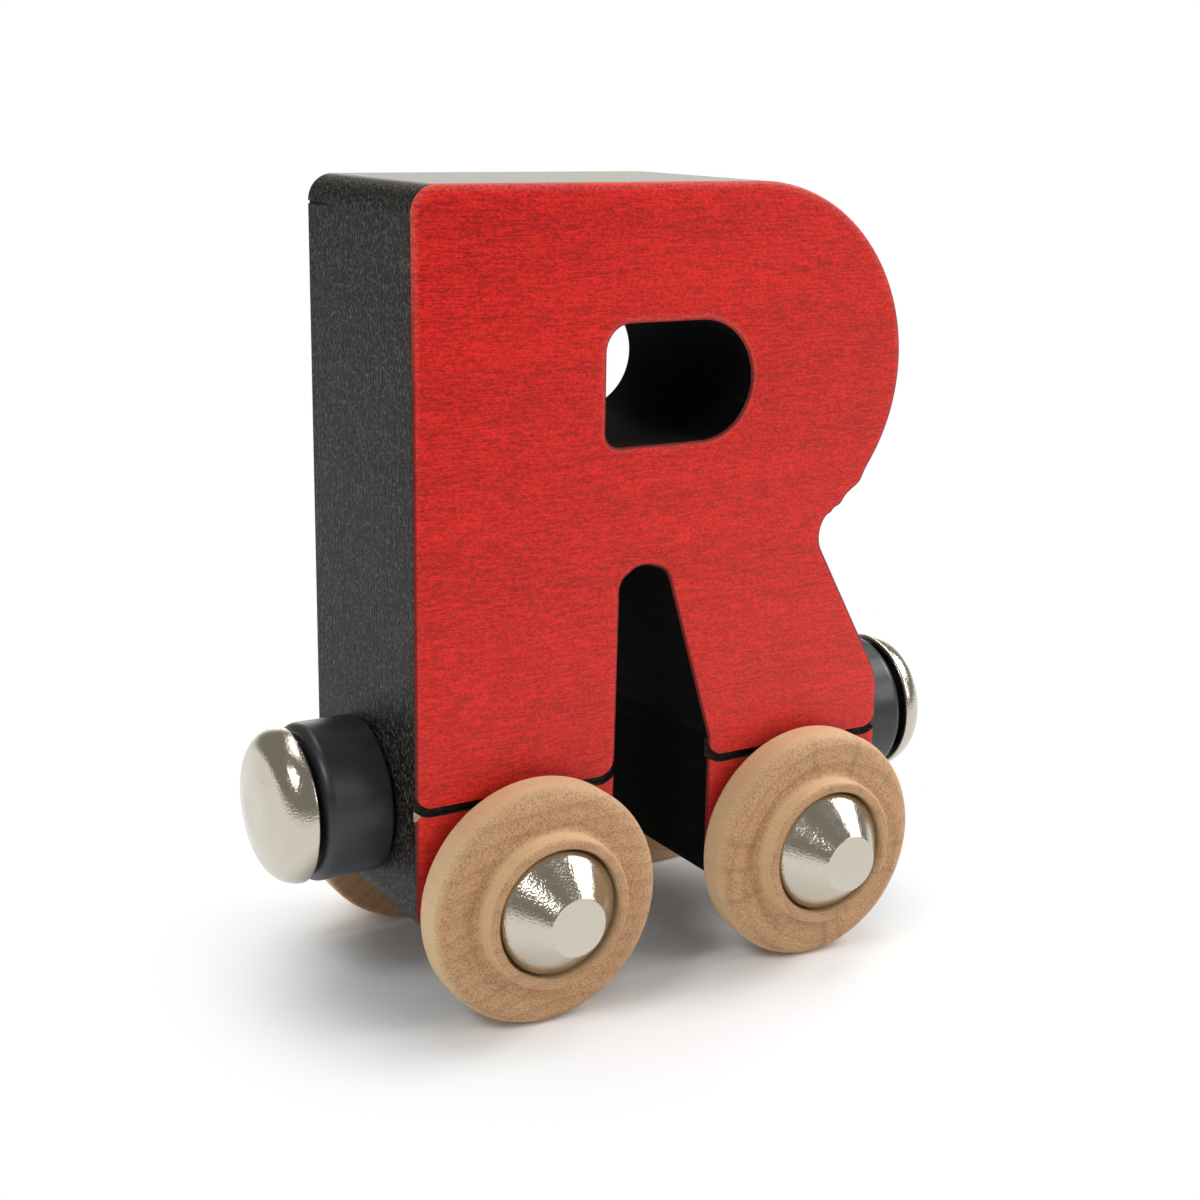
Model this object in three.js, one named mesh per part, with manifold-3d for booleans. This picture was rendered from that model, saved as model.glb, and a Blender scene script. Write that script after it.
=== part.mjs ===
// Wooden train letter: a capital R sawn from a hardwood board. It rolls on four turned wheels and
// has a magnetic coupler on each end.
// Millimetres, +Z up. The origin is on the ground under the middle of the car. The letter reads
// along +X and its front face looks along -Y.
import * as THREE from 'three';
import { mergeVertices } from 'three/addons/utils/BufferGeometryUtils.js';
import Module from 'manifold-3d';

// Board that the letter is sawn from
const boardThickness = 19.05;
const edgeEase = 0.3;

// Stem and feet of the letter, heights above the ground
const letterLength = 45;
const letterTop = 65.8;
const footBottom = 7.8;
const footWidth = 17.85;
const stemCornerRadius = 2.1;
const footOuterRadius = 2.4;
const footInnerRadius = 0.6;

// Bowl, and the leg that leaves it at the waist
const bowlRadius = 15;
const bowlOverhang = 0.6;
const waistRadius = 2.6;
const kneeHeight = 23.1;
const kneeRadius = 6;
const legOuterAngle = THREE.MathUtils.degToRad(60.6);

// Gap between the feet, with a round top
const gapTop = 35.7;
const heelHeight = 20.1;
const heelRadius = 1.5;
const legInnerAngle = THREE.MathUtils.degToRad(73.1);

// Counter, the window in the bowl
const stemWidth = 16.6;
const counterLength = 13.65;
const counterHeight = 9.6;
const counterDrop = 10.7;
const counterUpperRadius = 2.2;
const counterLowerRadius = 1.2;

// Burnt line that marks the foot of the letter on both faces
const baselineHeight = 18.5;
const grooveWidth = 0.75;
const grooveDepth = 0.6;
const grooveCornerRadius = 1.5;

// Wheels, turned from maple
const wheelRadius = 10;
const wheelbase = 26.5;
const axleInset = 9.75;
const rimWidth = 3.55;
const rimFrontRadius = 1.1;
const rimBackRadius = 0.5;
const faceDish = 0.15;
const hubLength = 5;
const hubRadius = 6.3;
const hubFilletRadius = 0.7;
const hubEdgeRadius = 0.4;
const recessRadius = 5.4;
const recessDepth = 2.1;
const recessFloorRadius = 0.4;

// Axle pins, one for each wheel
const axlePinRadius = 1.25;
const axlePinDepth = 8;
const axleHeadRadius = 5.1;
const axleHeadSkirt = 1.35;
const axleHeadRounding = 0.35;
const axleConeHeight = 3.1;
const axleTipRadius = 2.4;
const axleTipRounding = 0.2;

// Couplers: a plastic sleeve with a magnet in it, under a drawn steel cap, held by a headed pin
const couplerHeight = 17.1;
const sleeveRadius = 6.4;
const sleeveLength = 5.65;
const sleeveFloor = 1.4;
const sleeveEdgeRadius = 0.9;
const magnetRadius = 4.4;
const magnetRounding = 0.2;
const capRadius = 6.3;
const capLength = 3.05;
const capWall = 0.6;
const capEdgeRadius = 2.4;
const capContactRadius = 2.3;
const capCrownDrop = 1;
const capCrownRadius = 6;
const capGap = 0.53;
const couplerPinRadius = 1.4;
const couplerPinDepth = 11;
const couplerHeadRadius = 3.2;
const couplerHeadThickness = 1;
const couplerHeadRounding = 0.3;

// Clearances
const pinSeatGap = 0.2;
const wheelBoreGap = 0.25;
const wheelSideGap = 0.8;
const turningGap = 0.3;

// Facets
const arcStep = THREE.MathUtils.degToRad(9);
const profileStep = THREE.MathUtils.degToRad(45);
const wheelSegments = 32;
const couplerSegments = 28;
const pinSegments = 16;

const wasm = await Module();
wasm.setup();

// Points on an arc about (x, y), both ends included
function arc(x, y, radius, from, to, step) {
  const count = Math.max(1, Math.ceil(Math.abs(to - from) / step));
  const points = [];
  for (let i = 0; i <= count; i += 1) {
    const angle = THREE.MathUtils.lerp(from, to, i / count);
    points.push([x + radius * Math.cos(angle), y + radius * Math.sin(angle)]);
  }
  return points;
}

// Fillet of the corner between two neighbours, no longer than the sides beside it
function fillet(before, corner, after, step) {
  const at = new THREE.Vector2(corner[0], corner[1]);
  const back = new THREE.Vector2(before[0], before[1]).sub(at);
  const ahead = new THREE.Vector2(after[0], after[1]).sub(at);
  const roomBack = before[2] ? back.length() / 2 : back.length();
  const roomAhead = after[2] ? ahead.length() / 2 : ahead.length();
  back.normalize();
  ahead.normalize();
  const half = Math.acos(THREE.MathUtils.clamp(back.dot(ahead), -1, 1)) / 2;
  const run = Math.min(corner[2] / Math.tan(half), roomBack, roomAhead);
  const radius = run * Math.tan(half);
  const centre = back.clone().add(ahead).normalize().multiplyScalar(radius / Math.sin(half)).add(at);
  const start = at.clone().addScaledVector(back, run).sub(centre).angle();
  const end = at.clone().addScaledVector(ahead, run).sub(centre).angle();
  const turn = THREE.MathUtils.euclideanModulo(end - start + Math.PI, 2 * Math.PI) - Math.PI;
  return arc(centre.x, centre.y, radius, start, start + turn, step);
}

// Outline through [x, y] points and [x, y, radius] corners, as Vector2 points
function outline(corners, step) {
  const points = [];
  corners.forEach((corner, i) => {
    const before = corners.at(i - 1);
    const after = corners[(i + 1) % corners.length];
    const stretch = corner[2] ? fillet(before, corner, after, step) : [corner];
    for (const [x, y] of stretch) points.push(new THREE.Vector2(x, y));
  });
  return points.filter((point, i) => point.distanceTo(points.at(i - 1)) > 1e-4);
}

// Geometry with shared vertices and no collapsed triangles
function welded(geometry) {
  geometry.deleteAttribute('normal');
  geometry.deleteAttribute('uv');
  const merged = mergeVertices(geometry, 1e-4);
  const index = merged.getIndex().array;
  const kept = [];
  for (let i = 0; i < index.length; i += 3) {
    const [a, b, c] = [index[i], index[i + 1], index[i + 2]];
    if (a !== b && b !== c && c !== a) kept.push(a, b, c);
  }
  merged.setIndex(kept);
  merged.computeVertexNormals();
  return merged;
}

// Piece turned about Y from [radius, height, corner radius] points, counterclockwise in that plane.
// The profile starts and ends on the axis, or it is a closed ring.
function turned(profile, segments) {
  const points = outline(profile, profileStep);
  const isRing = points.every((point) => point.x > 0);
  if (isRing) points.push(points[0].clone());
  return welded(new THREE.LatheGeometry(points, segments));
}

// Plate with a given outline, centred on Y = 0, its outline's second axis turned up to +Z
function plate(points, thickness, bevel, holes = []) {
  const shape = new THREE.Shape(points);
  shape.holes = holes.map((hole) => new THREE.Path(hole));
  const geometry = new THREE.ExtrudeGeometry(shape, {
    depth: thickness - 2 * bevel,
    bevelEnabled: bevel > 0,
    bevelThickness: bevel,
    bevelSize: bevel,
    bevelOffset: -bevel,
    bevelSegments: 1,
  });
  geometry.translate(0, 0, bevel - thickness / 2);
  geometry.rotateX(Math.PI / 2);
  return welded(geometry);
}

function solid(geometry) {
  return new wasm.Manifold(new wasm.Mesh({
    numProp: 3,
    vertProperties: new Float32Array(geometry.getAttribute('position').array),
    triVerts: new Uint32Array(geometry.getIndex().array),
  }));
}

function cutAway(body, tools) {
  let left = solid(body);
  for (const tool of tools) left = left.subtract(solid(tool));
  const mesh = left.getMesh();
  const geometry = new THREE.BufferGeometry();
  geometry.setAttribute('position', new THREE.BufferAttribute(mesh.vertProperties, 3));
  geometry.setIndex(new THREE.BufferAttribute(mesh.triVerts, 1));
  geometry.computeVertexNormals();
  return geometry;
}

// Places that several pieces share
const endX = letterLength / 2;
const faceY = boardThickness / 2;
const gapLeftX = footWidth - endX;
const gapRightX = endX - footWidth;
const axleXs = { left: axleInset - endX, right: axleInset - endX + wheelbase };
const recessFloor = hubLength - recessDepth;
const underAxleHead = wheelSideGap + recessFloor + turningGap;
const underCouplerHead = turningGap + sleeveFloor + turningGap;
const magnetBack = underCouplerHead + couplerHeadThickness + turningGap;
const capRim = turningGap + sleeveLength + capGap;

function letterOutline() {
  // Bowl, tangent to the top of the letter
  const bowlX = endX + bowlOverhang - bowlRadius;
  const bowlZ = letterTop - bowlRadius;

  // Waist arc, tangent to the bowl and to the outer edge of the leg
  const alongLeg = new THREE.Vector2(-Math.cos(legOuterAngle), Math.sin(legOuterAngle));
  const offLeg = new THREE.Vector2(Math.sin(legOuterAngle), Math.cos(legOuterAngle));
  const base = new THREE.Vector2(endX, kneeHeight).addScaledVector(offLeg, waistRadius);
  const toBase = base.clone().sub(new THREE.Vector2(bowlX, bowlZ));
  const reach = bowlRadius + waistRadius;
  const lean = toBase.dot(alongLeg);
  const waist = base.addScaledVector(alongLeg, -lean - Math.sqrt(lean ** 2 - toBase.lengthSq() + reach ** 2));
  const bowlEnd = Math.atan2(waist.y - bowlZ, waist.x - bowlX);
  const legStart = 2 * Math.PI - Math.atan2(offLeg.y, -offLeg.x);

  // Round top of the gap, tangent to its two sides
  const gapRadius = ((gapRightX - gapLeftX) * Math.sin(legInnerAngle)
    - (gapTop - heelHeight) * Math.cos(legInnerAngle))
    / (1 + Math.sin(legInnerAngle) - Math.cos(legInnerAngle));
  const gapStart = Math.PI / 2 - legInnerAngle;

  return outline([
    [-endX, footBottom, footOuterRadius],
    [-endX, letterTop, stemCornerRadius],
    ...arc(bowlX, bowlZ, bowlRadius, Math.PI / 2, bowlEnd, arcStep),
    ...arc(waist.x, waist.y, waistRadius, bowlEnd + Math.PI, legStart, arcStep),
    [endX, kneeHeight, kneeRadius],
    [endX, footBottom, footOuterRadius],
    [gapRightX, footBottom, footInnerRadius],
    [gapRightX, heelHeight, heelRadius],
    ...arc(gapLeftX + gapRadius, gapTop - gapRadius, gapRadius, gapStart, Math.PI, arcStep),
    [gapLeftX, footBottom, footInnerRadius],
  ], arcStep);
}

function counterOutline() {
  const left = stemWidth - endX;
  const right = left + counterLength;
  const top = letterTop - counterDrop;
  const bottom = top - counterHeight;
  return outline([
    [left, bottom, counterLowerRadius],
    [right, bottom, counterHeight / 2],
    [right, top, counterHeight / 2],
    [left, top, counterUpperRadius],
  ], arcStep);
}

// Cutter for the burnt line of one foot: a band under the letter's rounded lower corners
function grooveCutter(leftX, rightX, y) {
  const top = baselineHeight + grooveCornerRadius;
  const low = baselineHeight - grooveWidth;
  const outerRadius = grooveCornerRadius + grooveWidth;
  const band = outline([
    [leftX - grooveWidth, top],
    [leftX - grooveWidth, low, outerRadius],
    [rightX + grooveWidth, low, outerRadius],
    [rightX + grooveWidth, top],
    [rightX, top],
    [rightX, baselineHeight, grooveCornerRadius],
    [leftX, baselineHeight, grooveCornerRadius],
    [leftX, top],
  ], arcStep);
  return plate(band, 2 * grooveDepth, 0).translate(0, y, 0);
}

// Cutter for a blind hole along Y, centred on the origin
function holeCutter(radius, depth) {
  return welded(new THREE.CylinderGeometry(radius, radius, 2 * depth, pinSegments));
}

function letterBlock() {
  const tools = [];
  for (const y of [-faceY, faceY]) {
    tools.push(grooveCutter(-endX, gapLeftX, y), grooveCutter(gapRightX, endX, y));
    for (const x of Object.values(axleXs)) {
      const hole = holeCutter(axlePinRadius + pinSeatGap, axlePinDepth + pinSeatGap);
      tools.push(hole.translate(x, y, wheelRadius));
    }
  }
  for (const x of [-endX, endX]) {
    const hole = holeCutter(couplerPinRadius + pinSeatGap, couplerPinDepth + pinSeatGap);
    tools.push(hole.rotateZ(Math.PI / 2).translate(x, 0, couplerHeight));
  }
  return cutAway(plate(letterOutline(), boardThickness, edgeEase, [counterOutline()]), tools);
}

// Heights from the wheel's back
function wheel() {
  const bore = axlePinRadius + wheelBoreGap;
  return turned([
    [bore, 0],
    [wheelRadius, 0, rimBackRadius],
    [wheelRadius, rimWidth, rimFrontRadius],
    [hubRadius, rimWidth - faceDish, hubFilletRadius],
    [hubRadius, hubLength, hubEdgeRadius],
    [recessRadius, hubLength, hubEdgeRadius / 2],
    [recessRadius, recessFloor, recessFloorRadius],
    [bore, recessFloor],
  ], wheelSegments);
}

// Heights from the underside of the head
function axlePin() {
  const shank = underAxleHead + axlePinDepth;
  return turned([
    [0, -shank],
    [axlePinRadius, -shank],
    [axlePinRadius, 0],
    [axleHeadRadius, 0, axleHeadRounding],
    [axleHeadRadius, axleHeadSkirt, axleHeadRounding],
    [axleTipRadius, axleHeadSkirt + axleConeHeight, axleTipRounding],
    [0, axleHeadSkirt + axleConeHeight],
  ], pinSegments);
}

// Heights from the sleeve's back
function sleeve() {
  const hole = couplerPinRadius + turningGap;
  const bore = magnetRadius + turningGap;
  return turned([
    [hole, 0],
    [sleeveRadius, 0],
    [sleeveRadius, sleeveLength, sleeveEdgeRadius],
    [bore, sleeveLength],
    [bore, sleeveFloor],
    [hole, sleeveFloor],
  ], couplerSegments);
}

// Heights from the underside of the head
function couplerPin() {
  const shank = underCouplerHead + couplerPinDepth;
  return turned([
    [0, -shank],
    [couplerPinRadius, -shank],
    [couplerPinRadius, 0],
    [couplerHeadRadius, 0],
    [couplerHeadRadius, couplerHeadThickness, couplerHeadRounding],
    [0, couplerHeadThickness],
  ], pinSegments);
}

// Height of the cap's outer crown above its rim, before its corners are rounded
function crownHeight(radius) {
  return capLength - capCrownDrop * (radius - capContactRadius) / (capRadius - capContactRadius);
}

// Heights from the cap's rim
function cap() {
  const inner = capRadius - capWall;
  return turned([
    [0, capLength - capWall],
    [capContactRadius, capLength - capWall, capCrownRadius],
    [inner, crownHeight(inner) - capWall, capEdgeRadius - capWall],
    [inner, 0],
    [capRadius, 0],
    [capRadius, crownHeight(capRadius), capEdgeRadius],
    [capContactRadius, capLength, capCrownRadius],
    [0, capLength],
  ], couplerSegments);
}

// Heights from the magnet's back, up to a seat under the cap's crown
function magnet() {
  const front = capRim + crownHeight(magnetRadius) - capWall - turningGap;
  const length = front - magnetBack;
  return turned([
    [0, 0],
    [magnetRadius, 0, magnetRounding],
    [magnetRadius, length, magnetRounding],
    [0, length],
  ], pinSegments);
}

const finishes = {
  redPaint: { color: 0xc4302b, roughness: 0.45, metalness: 0 },
  maple: { color: 0xcda074, roughness: 0.6, metalness: 0 },
  nickel: { color: 0xc9c5bb, roughness: 0.18, metalness: 1 },
  blackPlastic: { color: 0x2b2c30, roughness: 0.4, metalness: 0 },
  ferrite: { color: 0x2a2826, roughness: 0.7, metalness: 0.2 },
  steel: { color: 0x9a9a98, roughness: 0.35, metalness: 1 },
};

function piece(name, geometry, finish, height = 0) {
  const mesh = new THREE.Mesh(geometry, new THREE.MeshStandardMaterial(finishes[finish]));
  mesh.name = name;
  mesh.position.y = height;
  return mesh;
}

const car = new THREE.Group();
car.add(piece('letter_block', letterBlock(), 'redPaint'));

// A wheel station's +Y points away from the board, from the face that its pin is driven into
const faces = { front: { y: -faceY, turn: Math.PI }, back: { y: faceY, turn: 0 } };
for (const [face, { y, turn }] of Object.entries(faces)) {
  for (const [end, x] of Object.entries(axleXs)) {
    const station = new THREE.Group();
    station.position.set(x, y, wheelRadius);
    station.rotation.z = turn;
    station.add(piece(`${face}_${end}_wheel`, wheel(), 'maple', wheelSideGap));
    station.add(piece(`${face}_${end}_axle_pin`, axlePin(), 'nickel', underAxleHead));
    car.add(station);
  }
}

// A coupler's +Y points away from the end face that its pin is driven into
const ends = { left: { x: -endX, turn: Math.PI / 2 }, right: { x: endX, turn: -Math.PI / 2 } };
for (const [end, { x, turn }] of Object.entries(ends)) {
  const coupler = new THREE.Group();
  coupler.position.set(x, 0, couplerHeight);
  coupler.rotation.z = turn;
  coupler.add(piece(`${end}_coupler_sleeve`, sleeve(), 'blackPlastic', turningGap));
  coupler.add(piece(`${end}_coupler_pin`, couplerPin(), 'steel', underCouplerHead));
  coupler.add(piece(`${end}_coupler_magnet`, magnet(), 'ferrite', magnetBack));
  coupler.add(piece(`${end}_coupler_cap`, cap(), 'nickel', capRim));
  car.add(coupler);
}

export default car;
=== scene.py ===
# %% [markdown]
# # A wooden train letter
# The object is a toy train car: a capital R sawn from a hardwood board, with four turned wheels and a
# magnetic coupler on each end. The solids of the car are already made, and they are loaded here as a
# fixed frame. This lesson dresses that frame: it builds each visible piece again as a finer mesh with
# eased edges, and gives every surface the finish of its real material.

# %% Load the frame
import math

import bmesh
import bpy
import numpy as np
from mathutils import Matrix, Vector
from mathutils.geometry import delaunay_2d_cdt


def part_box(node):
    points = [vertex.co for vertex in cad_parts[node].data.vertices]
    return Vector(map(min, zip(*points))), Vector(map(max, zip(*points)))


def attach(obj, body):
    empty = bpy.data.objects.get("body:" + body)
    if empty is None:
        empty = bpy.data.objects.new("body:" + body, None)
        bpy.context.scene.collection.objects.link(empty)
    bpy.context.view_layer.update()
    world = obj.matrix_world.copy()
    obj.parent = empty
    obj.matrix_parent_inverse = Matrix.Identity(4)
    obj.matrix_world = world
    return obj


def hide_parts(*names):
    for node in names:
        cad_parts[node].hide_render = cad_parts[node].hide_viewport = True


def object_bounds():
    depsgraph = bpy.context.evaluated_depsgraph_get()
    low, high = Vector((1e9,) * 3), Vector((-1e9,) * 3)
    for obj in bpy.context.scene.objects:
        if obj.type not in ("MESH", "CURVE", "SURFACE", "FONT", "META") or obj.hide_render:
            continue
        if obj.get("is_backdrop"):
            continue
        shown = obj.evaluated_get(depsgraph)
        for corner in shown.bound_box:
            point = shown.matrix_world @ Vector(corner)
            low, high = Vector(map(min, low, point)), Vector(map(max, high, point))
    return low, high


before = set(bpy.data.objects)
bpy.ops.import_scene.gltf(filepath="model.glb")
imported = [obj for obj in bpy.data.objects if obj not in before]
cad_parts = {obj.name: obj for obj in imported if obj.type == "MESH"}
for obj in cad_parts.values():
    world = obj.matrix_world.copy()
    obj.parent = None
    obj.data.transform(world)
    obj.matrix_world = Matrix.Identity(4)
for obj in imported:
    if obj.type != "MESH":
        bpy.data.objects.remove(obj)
cad_low, cad_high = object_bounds()
mm = 0.001
print("frame size in mm:", [round(x / mm, 2) for x in cad_high - cad_low])

# %% [markdown]
# ## Camera
# The picture is taken from the left of the front, a little above the car. A camera is easiest to set by
# where it looks, from which side and how far away, so it is placed on a sphere about its target. The
# real camera was held one degree askew, and that is the roll.

# %% Camera
view_target = Vector((-0.47, 0, 30.46)) * mm
view_azimuth = math.radians(-31.24)
view_elevation = math.radians(14.74)
view_roll = math.radians(0.985)
view_distance = 162.98 * mm
lens_length = 57.28

toward_camera = Vector((
    math.sin(view_azimuth) * math.cos(view_elevation),
    -math.cos(view_azimuth) * math.cos(view_elevation),
    math.sin(view_elevation),
))
camera = bpy.data.objects.new("camera", bpy.data.cameras.new("camera"))
bpy.context.scene.collection.objects.link(camera)
camera.data.lens = lens_length
camera.data.clip_start = 10 * mm
camera.location = view_target + view_distance * toward_camera
camera.rotation_mode = "QUATERNION"
level = toward_camera.to_track_quat("Z", "Y")
camera.rotation_quaternion = level @ Matrix.Rotation(view_roll, 3, "Z").to_quaternion()
bpy.context.scene.camera = camera
print("camera at", [round(x / mm, 1) for x in camera.location], "mm")

# %% [markdown]
# ## Outlines with round corners
# Every shape on this car is drawn flat first: the letter for the saw, and the half sections for the lathe.
# Typing points along each curve would be long and hard to change. Instead an outline is a short list of
# corners, each with its own radius, and one function lays the arcs.

# %% Outlines from corners
arc_step = math.radians(3)
hair = 0.001 * mm


def arc(centre, radius, start, end):
    """Points on an arc, both ends included."""
    count = max(1, math.ceil(abs(end - start) / arc_step))
    angles = [start + (end - start) * i / count for i in range(count + 1)]
    return [Vector((centre[0] + radius * math.cos(a), centre[1] + radius * math.sin(a))) for a in angles]


def round_corner(before, corner, after, radius):
    """The arc that rounds a corner, tangent to both its sides."""
    back = (before - corner).normalized()
    ahead = (after - corner).normalized()
    half = back.angle(ahead) / 2
    centre = corner + (back + ahead).normalized() * radius / math.sin(half)
    first = corner + back * radius / math.tan(half) - centre
    last = corner + ahead * radius / math.tan(half) - centre
    start = math.atan2(first.y, first.x)
    turn = (math.atan2(last.y, last.x) - start + math.pi) % (2 * math.pi) - math.pi
    return arc(centre, radius, start, start + turn)


def outline(corners):
    """Points round a closed outline of (x, y) points and (x, y, radius) corners."""
    places = [Vector(c[:2]) for c in corners]
    points = []
    for i, corner in enumerate(corners):
        if len(corner) == 3:
            points += round_corner(places[i - 1], places[i], places[(i + 1) % len(corners)], corner[2])
        else:
            points.append(places[i])
    return [p for i, p in enumerate(points) if (p - points[i - 1]).length > hair]


print("an arc point every", round(math.degrees(arc_step)), "degrees")

# %% [markdown]
# ## The letter's outline
# The letter was cut on a scroll saw from a 19 mm board, and its curves run into each other without
# a corner: top into bowl, bowl into waist, waist into leg. The frame gives the block's place and main
# sizes. The radii and angles below are the letter's own. The waist arc is found as the circle that
# touches both the bowl and the outer edge of the leg. A scroll saw is led by hand, so the line wavers a
# little at the waist and at the top of the gap.

# %% Letter outline
block_low, block_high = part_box("letter_block")
face_y = block_high.y
top_z = block_high.z
foot_z = block_low.z
end_x = -block_low.x
bowl_overhang = block_high.x - end_x

foot_width = 17.85 * mm
stem_corner_radius = 2.1 * mm
foot_outer_radius = 2.4 * mm
foot_inner_radius = 0.6 * mm
bowl_radius = 15 * mm
waist_radius = 2.6 * mm
knee_z = 23.1 * mm
knee_radius = 6 * mm
leg_outer_angle = math.radians(60.6)
gap_top_z = 35.7 * mm
heel_z = 20.1 * mm
heel_radius = 1.5 * mm
leg_inner_angle = math.radians(73.1)
gap_left_x = foot_width - end_x
gap_right_x = end_x - foot_width


def letter_outline():
    bowl = Vector((end_x + bowl_overhang - bowl_radius, top_z - bowl_radius))
    along_leg = Vector((-math.cos(leg_outer_angle), math.sin(leg_outer_angle)))
    off_leg = Vector((math.sin(leg_outer_angle), math.cos(leg_outer_angle)))
    base = Vector((end_x, knee_z)) + waist_radius * off_leg
    lean = (base - bowl).dot(along_leg)
    reach = bowl_radius + waist_radius
    waist = base - along_leg * (lean + math.sqrt(lean**2 - (base - bowl).length_squared + reach**2))
    bowl_end = math.atan2(waist.y - bowl.y, waist.x - bowl.x)
    leg_start = 2 * math.pi - math.atan2(off_leg.y, -off_leg.x)
    gap_radius = (
        (gap_right_x - gap_left_x) * math.sin(leg_inner_angle)
        - (gap_top_z - heel_z) * math.cos(leg_inner_angle)
    ) / (1 + math.sin(leg_inner_angle) - math.cos(leg_inner_angle))
    gap_centre = (gap_left_x + gap_radius, gap_top_z - gap_radius)
    clockwise = outline([
        (-end_x, foot_z, foot_outer_radius),
        (-end_x, top_z, stem_corner_radius),
        *arc(bowl, bowl_radius, math.pi / 2, bowl_end),
        *arc(waist, waist_radius, bowl_end + math.pi, leg_start),
        (end_x, knee_z, knee_radius),
        (end_x, foot_z, foot_outer_radius),
        (gap_right_x, foot_z, foot_inner_radius),
        (gap_right_x, heel_z, heel_radius),
        *arc(gap_centre, gap_radius, math.pi / 2 - leg_inner_angle, math.pi),
        (gap_left_x, foot_z, foot_inner_radius),
    ])
    return clockwise[::-1]


# Where the blade slipped: a place on the outline, how far the wood stands out there, and along what length
saw_slips = [
    (Vector((19.4, 40.7)) * mm, 0.28 * mm, 0.9 * mm),
    (Vector((17.4, 39.1)) * mm, 0.2 * mm, 0.5 * mm),
    (Vector((16.5, 38.4)) * mm, 0.14 * mm, 0.35 * mm),
    (Vector((-4.6, 33)) * mm, 0.3 * mm, 1.2 * mm),
    (Vector((-3.3, 35)) * mm, 0.16 * mm, 0.35 * mm),
    (Vector((0, 35.1)) * mm, -0.18 * mm, 0.7 * mm),
]
slip_step = 0.2 * mm


def slipped(loop):
    """The outline with a point every slip step near the slips, pushed in or out there."""
    fine = []
    for i, start in enumerate(loop):
        side = loop[(i + 1) % len(loop)] - start
        near = any((start + side / 2 - spot).length < 3 * length for spot, push, length in saw_slips)
        count = math.ceil(side.length / slip_step) if near else 1
        fine += [start + side * k / count for k in range(count)]
    moved = []
    for i, point in enumerate(fine):
        along = (fine[(i + 1) % len(fine)] - fine[i - 1]).normalized()
        shares = [push * math.exp(-((point - spot).length / length)**2) for spot, push, length in saw_slips]
        moved.append(point + Vector((along.y, -along.x)) * sum(shares))
    return moved


letter_loop = slipped(letter_outline())
print("letter outline:", len(letter_loop), "points")

# %% [markdown]
# The counter is the window in the bowl. Its left corners were turned by the saw blade and its right end
# is a half circle. It is listed clockwise, so that on both loops the wood lies to the left of the line.

# %% Counter outline
stem_width = 16.6 * mm
counter_length = 13.65 * mm
counter_height = 9.6 * mm
counter_drop = 10.7 * mm
counter_upper_radius = 2.2 * mm
counter_lower_radius = 1.2 * mm
counter_end_radius = counter_height / 2 - hair
counter_left = stem_width - end_x
counter_right = counter_left + counter_length
counter_top = top_z - counter_drop
counter_bottom = counter_top - counter_height
counter_loop = outline([
    (counter_left, counter_bottom, counter_lower_radius),
    (counter_left, counter_top, counter_upper_radius),
    (counter_right, counter_top, counter_end_radius),
    (counter_right, counter_bottom, counter_end_radius),
])
print("counter outline:", len(counter_loop), "points")

# %% [markdown]
# ## The block
# A box with sharp edges looks like a drawing, because a real edge always shows a thin line of light.
# The saw's edges were eased with sandpaper, so the wall is built as rings that roll over from the face
# in small steps. One more ring close to the roll keeps the long wall flat in the shading. The faces are
# filled with small triangles, so that each point can remember how far it lies from an edge.

# %% Block mesh
ease_radius = 0.28 * mm
ease_steps = 4
flat_ring = 0.05 * mm
face_grid = 1 * mm


def inset(loop, distance):
    """The loop moved to its left by a distance."""
    moved = []
    for i, point in enumerate(loop):
        ahead = (loop[(i + 1) % len(loop)] - point).normalized()
        back = (point - loop[i - 1]).normalized()
        left = Vector((-ahead.y - back.y, ahead.x + back.x)).normalized()
        moved.append(point + left * distance / max(0.5, left.dot(Vector((-ahead.y, ahead.x)))))
    return moved


def inside(points, loop):
    """Whether each (x, z) point lies inside the loop, by counting the lines to its right."""
    start = np.array(loop)
    end = np.roll(start, -1, axis=0)
    crossings = np.zeros(len(points), int)
    for a, b in zip(start, end):
        straddles = (a[1] > points[:, 1]) != (b[1] > points[:, 1])
        at = a[0] + (points[:, 1] - a[1]) * (b[0] - a[0]) / (b[1] - a[1] or 1)
        crossings += straddles & (at > points[:, 0])
    return crossings % 2 == 1


def nearest_edge(points, loops):
    """Distance of each (x, z) point to the nearest line of the loops."""
    best = np.full(len(points), 1.0)
    for loop in loops:
        start = np.array(loop)
        run = np.roll(start, -1, axis=0) - start
        for a, d in zip(start, run):
            t = np.clip((points - a) @ d / (d @ d), 0, 1)
            best = np.minimum(best, np.linalg.norm(points - a - t[:, None] * d, axis=1))
    return best


roll = [math.pi / 2 * i / ease_steps for i in range(ease_steps + 1)]
front_roll = [(ease_radius * (1 - math.sin(a)), ease_radius * (1 - math.cos(a)) - face_y) for a in roll]
front_roll.append((0, front_roll[-1][1] + flat_ring))
wall_rings = front_roll + [(shift, -y) for shift, y in reversed(front_roll)]

mesh = bmesh.new()
for loop in (letter_loop, counter_loop):
    rings = []
    for shift, y in wall_rings:
        rings.append([mesh.verts.new((p.x, y, p.y)) for p in inset(loop, shift)])
    for near, far in zip(rings, rings[1:]):
        for i in range(len(loop)):
            mesh.faces.new((near[i - 1], near[i], far[i], far[i - 1]))

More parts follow.
